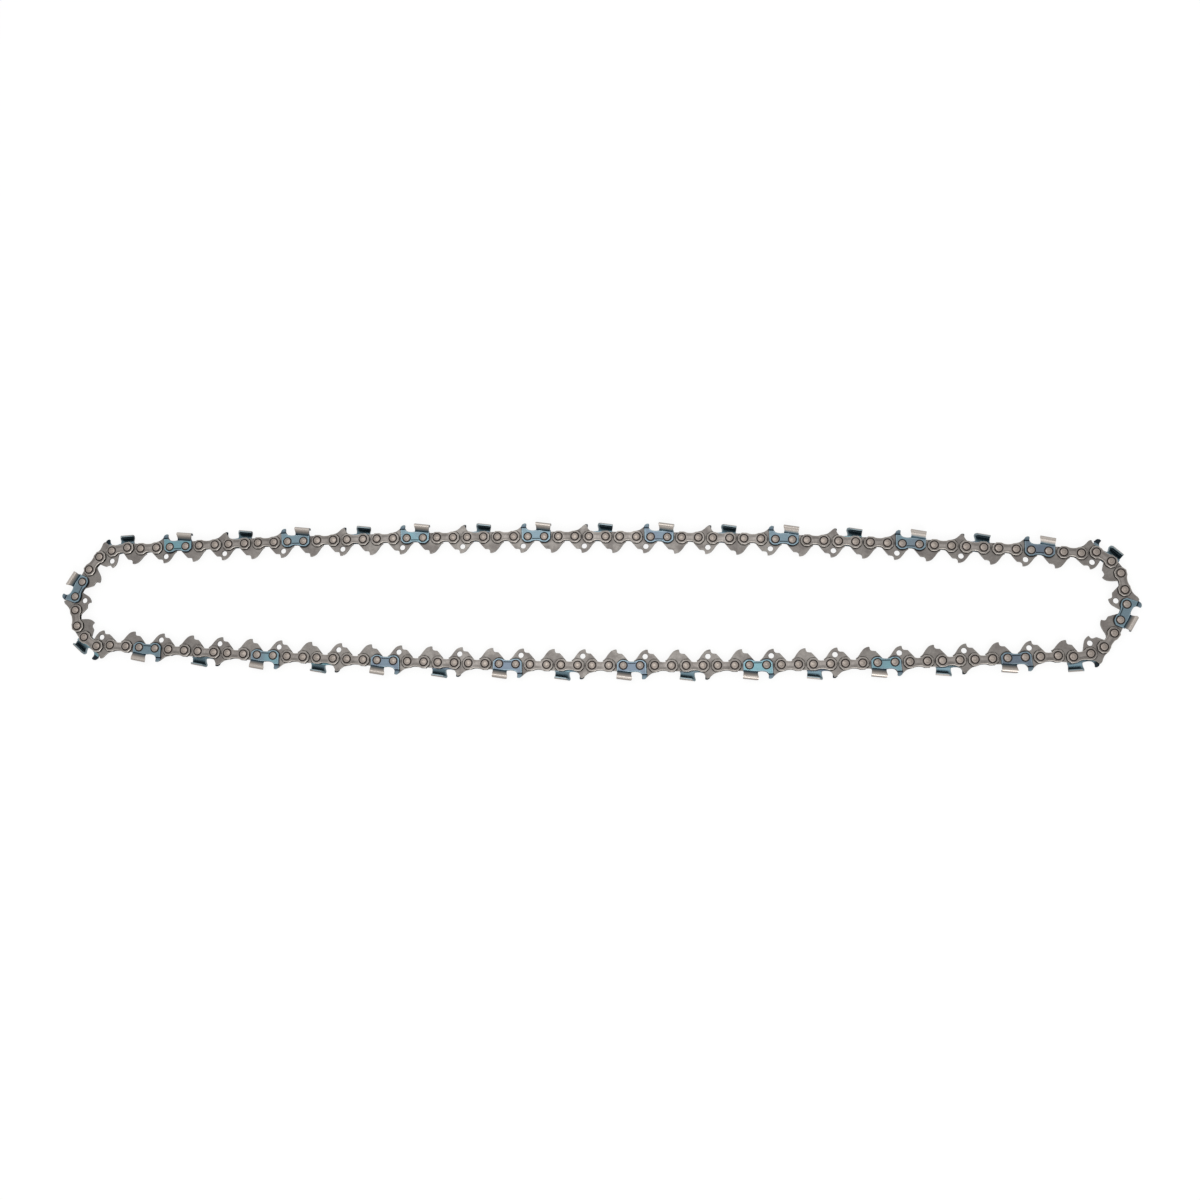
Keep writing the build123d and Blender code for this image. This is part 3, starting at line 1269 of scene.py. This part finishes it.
class Cutters(Family):
    """Left and right cutters: a side plate with its depth gauge, and a bent top plate."""

    title = "cutter_plates"
    node = "cutters"
    slot = "cutter_steel"
    spread = 1.0
    seed = 5
    sizes = CutterSizes()
    facings = CutterFacings()
    strap = StrapSizes()
    steel = CutterSteel()

    def side_outline(self) -> list[Vector]:
        """Draw the side plate.

        Returns:
            Its outline, with two lobes below and the depth gauge in front.
        """
        sizes = self.sizes
        rivet = self.lay.reach
        front = -rivet - sizes.front
        heel = rivet + sizes.heel
        flat = self.strap.flat
        return trace([
            Knot(front + 0.15, -flat), soft(-rivet - flat, -sizes.foot), Knot(-rivet + flat, -sizes.foot),
            soft(-sizes.waist_half, -sizes.waist), soft(sizes.waist_half, -sizes.waist),
            Knot(rivet - flat, -sizes.foot), soft(rivet + flat, -sizes.foot), Knot(heel, -flat),
            Knot(heel, sizes.body_top), Knot(-0.4, sizes.body_top), soft(-1.8, 3.75), soft(-3.75, 3.9),
            soft(-5.3, 4.5), soft(-6.2, 5.9), soft(-6.15, 7.4), Knot(-6.35, 8.1), Knot(-7.55, 8.19),
            soft(-8.8, 7.3), Knot(-9.5, 5.35), Knot(front - 0.25, sizes.gauge_crease - 0.15),
        ], sizes.steps)

    def side(self) -> Shape:
        """Build the side plate.

        Returns:
            The plate, whose depth gauge is thinned from a crease up to its tip.
        """
        sizes = self.sizes
        strap = self.strap
        bm = strap.plate(self.side_outline(), self.lay.reach, sizes.bevel, sizes.rim).build()
        middle = strap.inside + strap.thickness / 2
        everything = bm.verts[:] + bm.edges[:] + bm.faces[:]
        crease = (0, sizes.gauge_crease, 0)
        bmesh.ops.bisect_plane(bm, geom=everything, plane_co=crease, plane_no=(0, 1, 0))
        for vertex in bm.verts:
            if vertex.co.z > middle:
                vertex.co.z -= sizes.gauge_bend * max(vertex.co.y - sizes.gauge_crease, 0)
        return bm

    def setbacks(self, line: Sequence[Vector]) -> list[float]:
        """How far the ground edge stands back at each point of the bent line.

        Args:
            line: The bent line, from the foot over the cutting corner to the end of the top plate.

        Returns:
            A distance for each point: a hook up the side, then a slant along the top plate.
        """
        sizes = self.sizes
        corner = max(range(len(line)), key=lambda index: line[index].y)
        rise = line[corner].x - line[0].x
        backs = []
        for index, point in enumerate(line):
            share = min((point.x - line[0].x) / rise, 1)
            back = sizes.hook * sin(pi * share) - sizes.lead * share
            slant = max(line[corner].y - point.y, 0) * tan(radians(sizes.edge_angle))
            backs.append(back + slant if index > corner else back)
        return backs

    def bent_line(self) -> list[Vector]:
        """Draw the middle of the bent plate as it is seen along the link.

        Returns:
            The line; x is its height and y its place across.
        """
        sizes = self.sizes
        middle = self.strap.inside + self.strap.thickness / 2
        return trace([
            Knot(3.5, middle), soft(4.35, middle + 0.1), soft(6.9, 2.5), soft(7.9, 2.6), soft(8.4, 1.9),
            Knot(sizes.top_height, sizes.end_bevel - sizes.overhang),
            Knot(sizes.top_height, -sizes.overhang),
        ], sizes.steps, closed=False)

    def top(self) -> Shape:
        """Build the leaning upper side.

        Returns:
            The side, bent over into the top plate and ground at its leading edge.
        """
        sizes = self.sizes
        line = self.bent_line()
        front = sizes.corner_back - self.lay.reach
        length = self.lay.reach + sizes.heel - sizes.top_short - front
        bm = bmesh.new()
        zone_layers(bm)
        walls = []
        for depth, hollow in ((sizes.half_thickness, 0), (-sizes.half_thickness, sizes.hollow)):
            points = moved_left(line, depth, closed=False)
            points[-1].x -= sizes.end_bevel if depth > 0 else 0
            ground = [setback + hollow for setback in self.setbacks(line)]
            for places in (ground, [length] * len(line)):
                walls.append([bm.verts.new((x, p.x, p.y)) for x, p in zip(places, points)])
        outer_front, outer_back, inner_front, inner_back = walls
        borders = [
            (outer_front, inner_front),
            (inner_back, outer_back),
            (outer_back, outer_front),
            (inner_front, inner_back),
        ]
        for one, other in borders:
            for index in range(len(line) - 1):
                bm.faces.new((one[index], one[index + 1], other[index + 1], other[index]))
        for index in (0, -1):
            bm.faces.new((outer_front[index], outer_back[index], inner_back[index], inner_front[index]))
        bmesh.ops.recalc_face_normals(bm, faces=bm.faces)
        lean = Matrix.Rotation(radians(-sizes.fall), 4, "Z")
        down = Matrix.Translation((0, -sizes.body_top, 0))
        place = Matrix.Translation((front, sizes.body_top, 0)) @ lean @ down
        bmesh.ops.transform(bm, matrix=place, verts=bm.verts)
        return bm

    def joined(self) -> Shape:
        """Join the side and the top.

        Returns:
            One closed shape, with its zones marked.
        """
        objects = []
        for name, bm in (("cutter_side", self.side()), ("cutter_top", self.top())):
            mesh = bpy.data.meshes.new(name)
            bm.to_mesh(mesh)
            bm.free()
            objects.append(placed(name, mesh))
        union = objects[0].modifiers.new("join", "BOOLEAN")
        union.operation = "UNION"
        union.solver = "EXACT"
        union.object = objects[1]
        graph = bpy.context.evaluated_depsgraph_get()
        bm = bmesh.new()
        bm.from_object(objects[0], graph)
        for made in objects:
            bpy.data.objects.remove(made)
        self.mark(bm)
        return bm

    def mark(self, bm: Shape) -> None:
        """Mark the chrome, the ground edges, the inside and the rims by place and facing.

        Args:
            bm: The joined cutter.
        """
        zones = zone_layers(bm)
        bm.normal_update()
        for face in bm.faces:
            on_rim = face[zones[Zone.RIM]] > 0.5
            for zone in Zone:
                face[zones[zone]] = 0
            zone = self.zone_at(face.calc_center_median(), face.normal) or (Zone.RIM if on_rim else None)
            if zone:
                face[zones[zone]] = 1

    def zone_at(self, centre: Vector, normal: Vector) -> Zone | None:
        """The zone of a face of a near cutter.

        Args:
            centre: Middle of the face.
            normal: Which way the face looks.

        Returns:
            The zone, or None for plain blued steel.
        """
        sizes = self.sizes
        facings = self.facings
        height = centre.y + tan(radians(sizes.fall)) * max(centre.x, 0)
        on_foot = height > sizes.foot_height and facings.wall < normal.z < facings.flat
        on_top = centre.x > sizes.top_front and (height > sizes.bend_height or on_foot)
        if on_top and (normal.x < facings.front or centre.z < sizes.end_margin - sizes.overhang):
            return Zone.GROUND
        if on_top and normal.x < facings.heel:
            outside = normal.z > facings.outside or normal.y > facings.upward
            return Zone.CHROME if outside else Zone.INSIDE
        if on_top or abs(normal.z) < facings.wall:
            return Zone.WALL
        if centre.y > sizes.gauge_crease:
            return Zone.GAUGE if normal.z > 0 else Zone.WALL
        return Zone.EDGE if abs(normal.z) < facings.edge else None

    def templates(self) -> list[Mesh]:
        """Make both cutters.

        Returns:
            A near cutter, and its mirror image for the far side.
        """
        near = self.joined()
        far = near.copy()
        bmesh.ops.transform(far, matrix=Matrix.Scale(-1, 4, (0, 0, 1)), verts=far.verts)
        bmesh.ops.reverse_faces(far, faces=far.faces)
        return [finish_template(near, "cutter_near"), finish_template(far, "cutter_far")]

    def seats(self, links: Sequence[LinkPlace]) -> list[Seat]:
        """A far cutter on the first link of a section and a near one on the fifth."""
        return [Seat(links[0], template=1), Seat(links[4], template=0)]

    def finish(self) -> Material:
        """Blued steel and chrome."""
        return self.steel.build(self.sizes.fall)


@dataclass(frozen=True)
class RivetSizes:
    """Sizes of a rivet: radii and heights over the middle plane."""

    crown: float = 2.43
    dome_radius: float = 1.45
    dome: float = 2.4
    head_radius: float = 1.98
    head: float = 2.24
    foot_radius: float = 2.08
    foot: float = 1.62
    ring_radius: float = 2.62
    ring: float = 1.5
    shank_radius: float = 1.55
    sides: int = 16


class Rivets(Family):
    """Spun rivets, one through each end of each outer link."""

    title = "rivets"
    slot = "strap_steel"
    spread = 0.09
    seed = 31
    sizes = RivetSizes()
    steel = RivetSteel()

    def turned(self, profile: Sequence[tuple[float, float]]) -> Shape:
        """A closed turned shape.

        Args:
            profile: Radius and height of each ring, from the crown down to the last ring.

        Returns:
            The shape, with its rim and its ring marked.
        """
        bm = bmesh.new()
        zones = zone_layers(bm)
        sides = self.sizes.sides
        crown = bm.verts.new((0, 0, self.sizes.crown))
        rings = []
        for radius, height in profile:
            points = circle(0, 0, radius, sides)[::-1]
            rings.append([bm.verts.new((point.x, point.y, height)) for point in points])
        for index in range(sides):
            after = (index + 1) % sides
            bm.faces.new((crown, rings[0][index], rings[0][after]))
            for level, (upper, lower) in enumerate(zip(rings, rings[1:])):
                face = bm.faces.new((upper[index], lower[index], lower[after], upper[after]))
                face[zones[Zone.EDGE if level == 0 else Zone.RING]] = 1
        bm.faces.new(rings[-1][::-1])
        return bm

    def templates(self) -> list[Mesh]:
        """Make both heads.

        Returns:
            A near head with the shank, and a far head.
        """
        sizes = self.sizes
        head = [
            (sizes.dome_radius, sizes.dome),
            (sizes.head_radius, sizes.head),
            (sizes.foot_radius, sizes.foot),
            (sizes.ring_radius, sizes.ring),
        ]
        shank = [(sizes.shank_radius, sizes.ring), (sizes.shank_radius, -sizes.ring)]
        profiles = {"near_head": head + shank, "far_head": head}
        return [finish_template(self.turned(profile), name) for name, profile in profiles.items()]

    def seats(self, links: Sequence[LinkPlace]) -> list[Seat]:
        """Seat a rivet at both ends of each outer link, with a head on both sides.

        Args:
            links: The links of one section.

        Returns:
            The seats.
        """
        reach = self.lay.reach
        ends = [(place, along) for place in links[0::2] for along in (-reach, reach)]
        near = [Seat(place, along) for place, along in ends]
        far = [Seat(place, along, template=1, side=Side.FAR) for place, along in ends]
        return near + far

    def finish(self) -> Material:
        """Spun rivet steel."""
        return self.steel.build()


@dataclass(frozen=True)
class Lamp:
    """A soft square lamp; places and sizes in metres, power in watts."""

    name: str
    place: tuple[float, float, float]
    size: float
    power: float

    def build(self) -> None:
        """Hang the lamp so that it looks at the middle of the loop."""
        light = bpy.data.lights.new(self.name, "AREA")
        light.size = self.size
        light.energy = self.power
        lamp = placed(self.name, light)
        lamp.location = self.place
        lamp.rotation_euler = (-Vector(self.place)).to_track_quat("-Z", "Y").to_euler()


@dataclass(frozen=True)
class Studio:
    """White floor, soft light and the camera; places in metres."""

    floor_size: float = 8.0
    floor_colour: Colour = Colour(252, 252, 251)
    floor_roughness: float = 0.9
    floor_glow: float = 0.86
    sky: float = 0.86
    white: Colour = Colour(255, 255, 255)
    camera_place: tuple[float, float, float] = (0.10777, -0.17048, 0.94498)
    camera_aim: tuple[float, float, float] = (0.0101, 0.0001, 0.0056)
    camera_roll: float = 1.28
    lens: float = 48.14
    sensor: float = 36.0
    lamps: tuple[Lamp, ...] = (
        Lamp("over_lamp", (-0.16, 0.23, 1.3), 0.55, 2.1),
        Lamp("front_lamp", (0.3, -1.1, 1.2), 0.9, 7.5),
        Lamp("low_lamp", (0.2, -1.5, 0.4), 0.7, 2.2),
        Lamp("back_lamp", (-0.6, 1.3, 0.9), 1.0, 0.6),
    )

    def build(self) -> None:
        """Set up the stage."""
        bpy.context.scene.view_settings.view_transform = "Standard"
        self.build_floor()
        self.build_world()
        for lamp in self.lamps:
            lamp.build()
        self.build_camera()

    def build_floor(self) -> None:
        """A wide pale floor under the chain, with white mixed in so that only a faint shadow stays."""
        half = self.floor_size / 2
        corners = [(-half, -half, 0), (half, -half, 0), (half, half, 0), (-half, half, 0)]
        mesh = bpy.data.meshes.new("floor")
        mesh.from_pydata(corners, [], [(0, 1, 2, 3)])
        floor = placed("floor", mesh)
        material = bpy.data.materials.new("floor_white")
        material.use_nodes = True
        mesh.materials.append(material)
        nodes = material.node_tree.nodes
        wiring = Wiring(material.node_tree)
        matt = wiring.supply(nodes["Principled BSDF"], {
            "Base Color": self.floor_colour,
            "Roughness": self.floor_roughness,
            "Specular IOR Level": 0,
        })
        share = wiring.sum("MULTIPLY", self.seen(wiring), self.floor_glow)
        white = wiring.node("ShaderNodeEmission", {"Color": self.white, "Strength": 1})
        mixed = wiring.node("ShaderNodeMixShader", {0: share, 1: matt[0], 2: white[0]})
        wiring.supply(nodes["Material Output"], {"Surface": mixed[0]})

    @staticmethod
    def seen(wiring: Wiring) -> Socket:
        """Tell what is seen as white.

        Args:
            wiring: The node tree that gets the nodes.

        Returns:
            1 for rays from the camera and rays that metal or glass sends on, otherwise 0.
        """
        path = wiring.node("ShaderNodeLightPath", {})
        seen = path["Is Camera Ray"]
        for name in ("Is Glossy Ray", "Is Transmission Ray"):
            seen = wiring.sum("MAXIMUM", seen, path[name])
        return seen

    def build_world(self) -> None:
        """Plain light all round, which the camera, metal and glass see as white."""
        world = bpy.data.worlds.new("studio")
        world.use_nodes = True
        bpy.context.scene.world = world
        world.node_tree.nodes.clear()
        wiring = Wiring(world.node_tree)
        plain = wiring.node("ShaderNodeBackground", {"Color": self.white, "Strength": self.sky})
        bright = wiring.node("ShaderNodeBackground", {"Color": self.white, "Strength": 1})
        mixed = wiring.node("ShaderNodeMixShader", {0: self.seen(wiring), 1: plain[0], 2: bright[0]})
        wiring.node("ShaderNodeOutputWorld", {"Surface": mixed[0]})

    def build_camera(self) -> None:
        """A camera over the loop, a little towards its near run."""
        data = bpy.data.cameras.new("camera")
        data.lens = self.lens
        data.sensor_width = self.sensor
        camera = placed("camera", data)
        back = (Vector(self.camera_place) - Vector(self.camera_aim)).normalized()
        right = Vector((0, 1, 0)).cross(back).normalized()
        level = Matrix((right, back.cross(right), back)).transposed().to_4x4()
        turned = level @ Matrix.Rotation(radians(self.camera_roll), 4, "Z")
        camera.matrix_world = Matrix.Translation(self.camera_place) @ turned
        bpy.context.scene.camera = camera


def main() -> None:
    """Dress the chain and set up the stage."""
    logging.basicConfig(level=logging.INFO, format="%(name)s: %(message)s")
    lay = ChainLay()
    LOG.info("largest slip from the packed pivots: %.4f mm", lay.largest_slip())
    pattern = LinkPattern("set_along_chain")
    for family in (DriveLinks, TieStraps, Cutters, Rivets):
        family(lay, pattern).build()
    Studio().build()


if __name__ == "__main__":
    main()
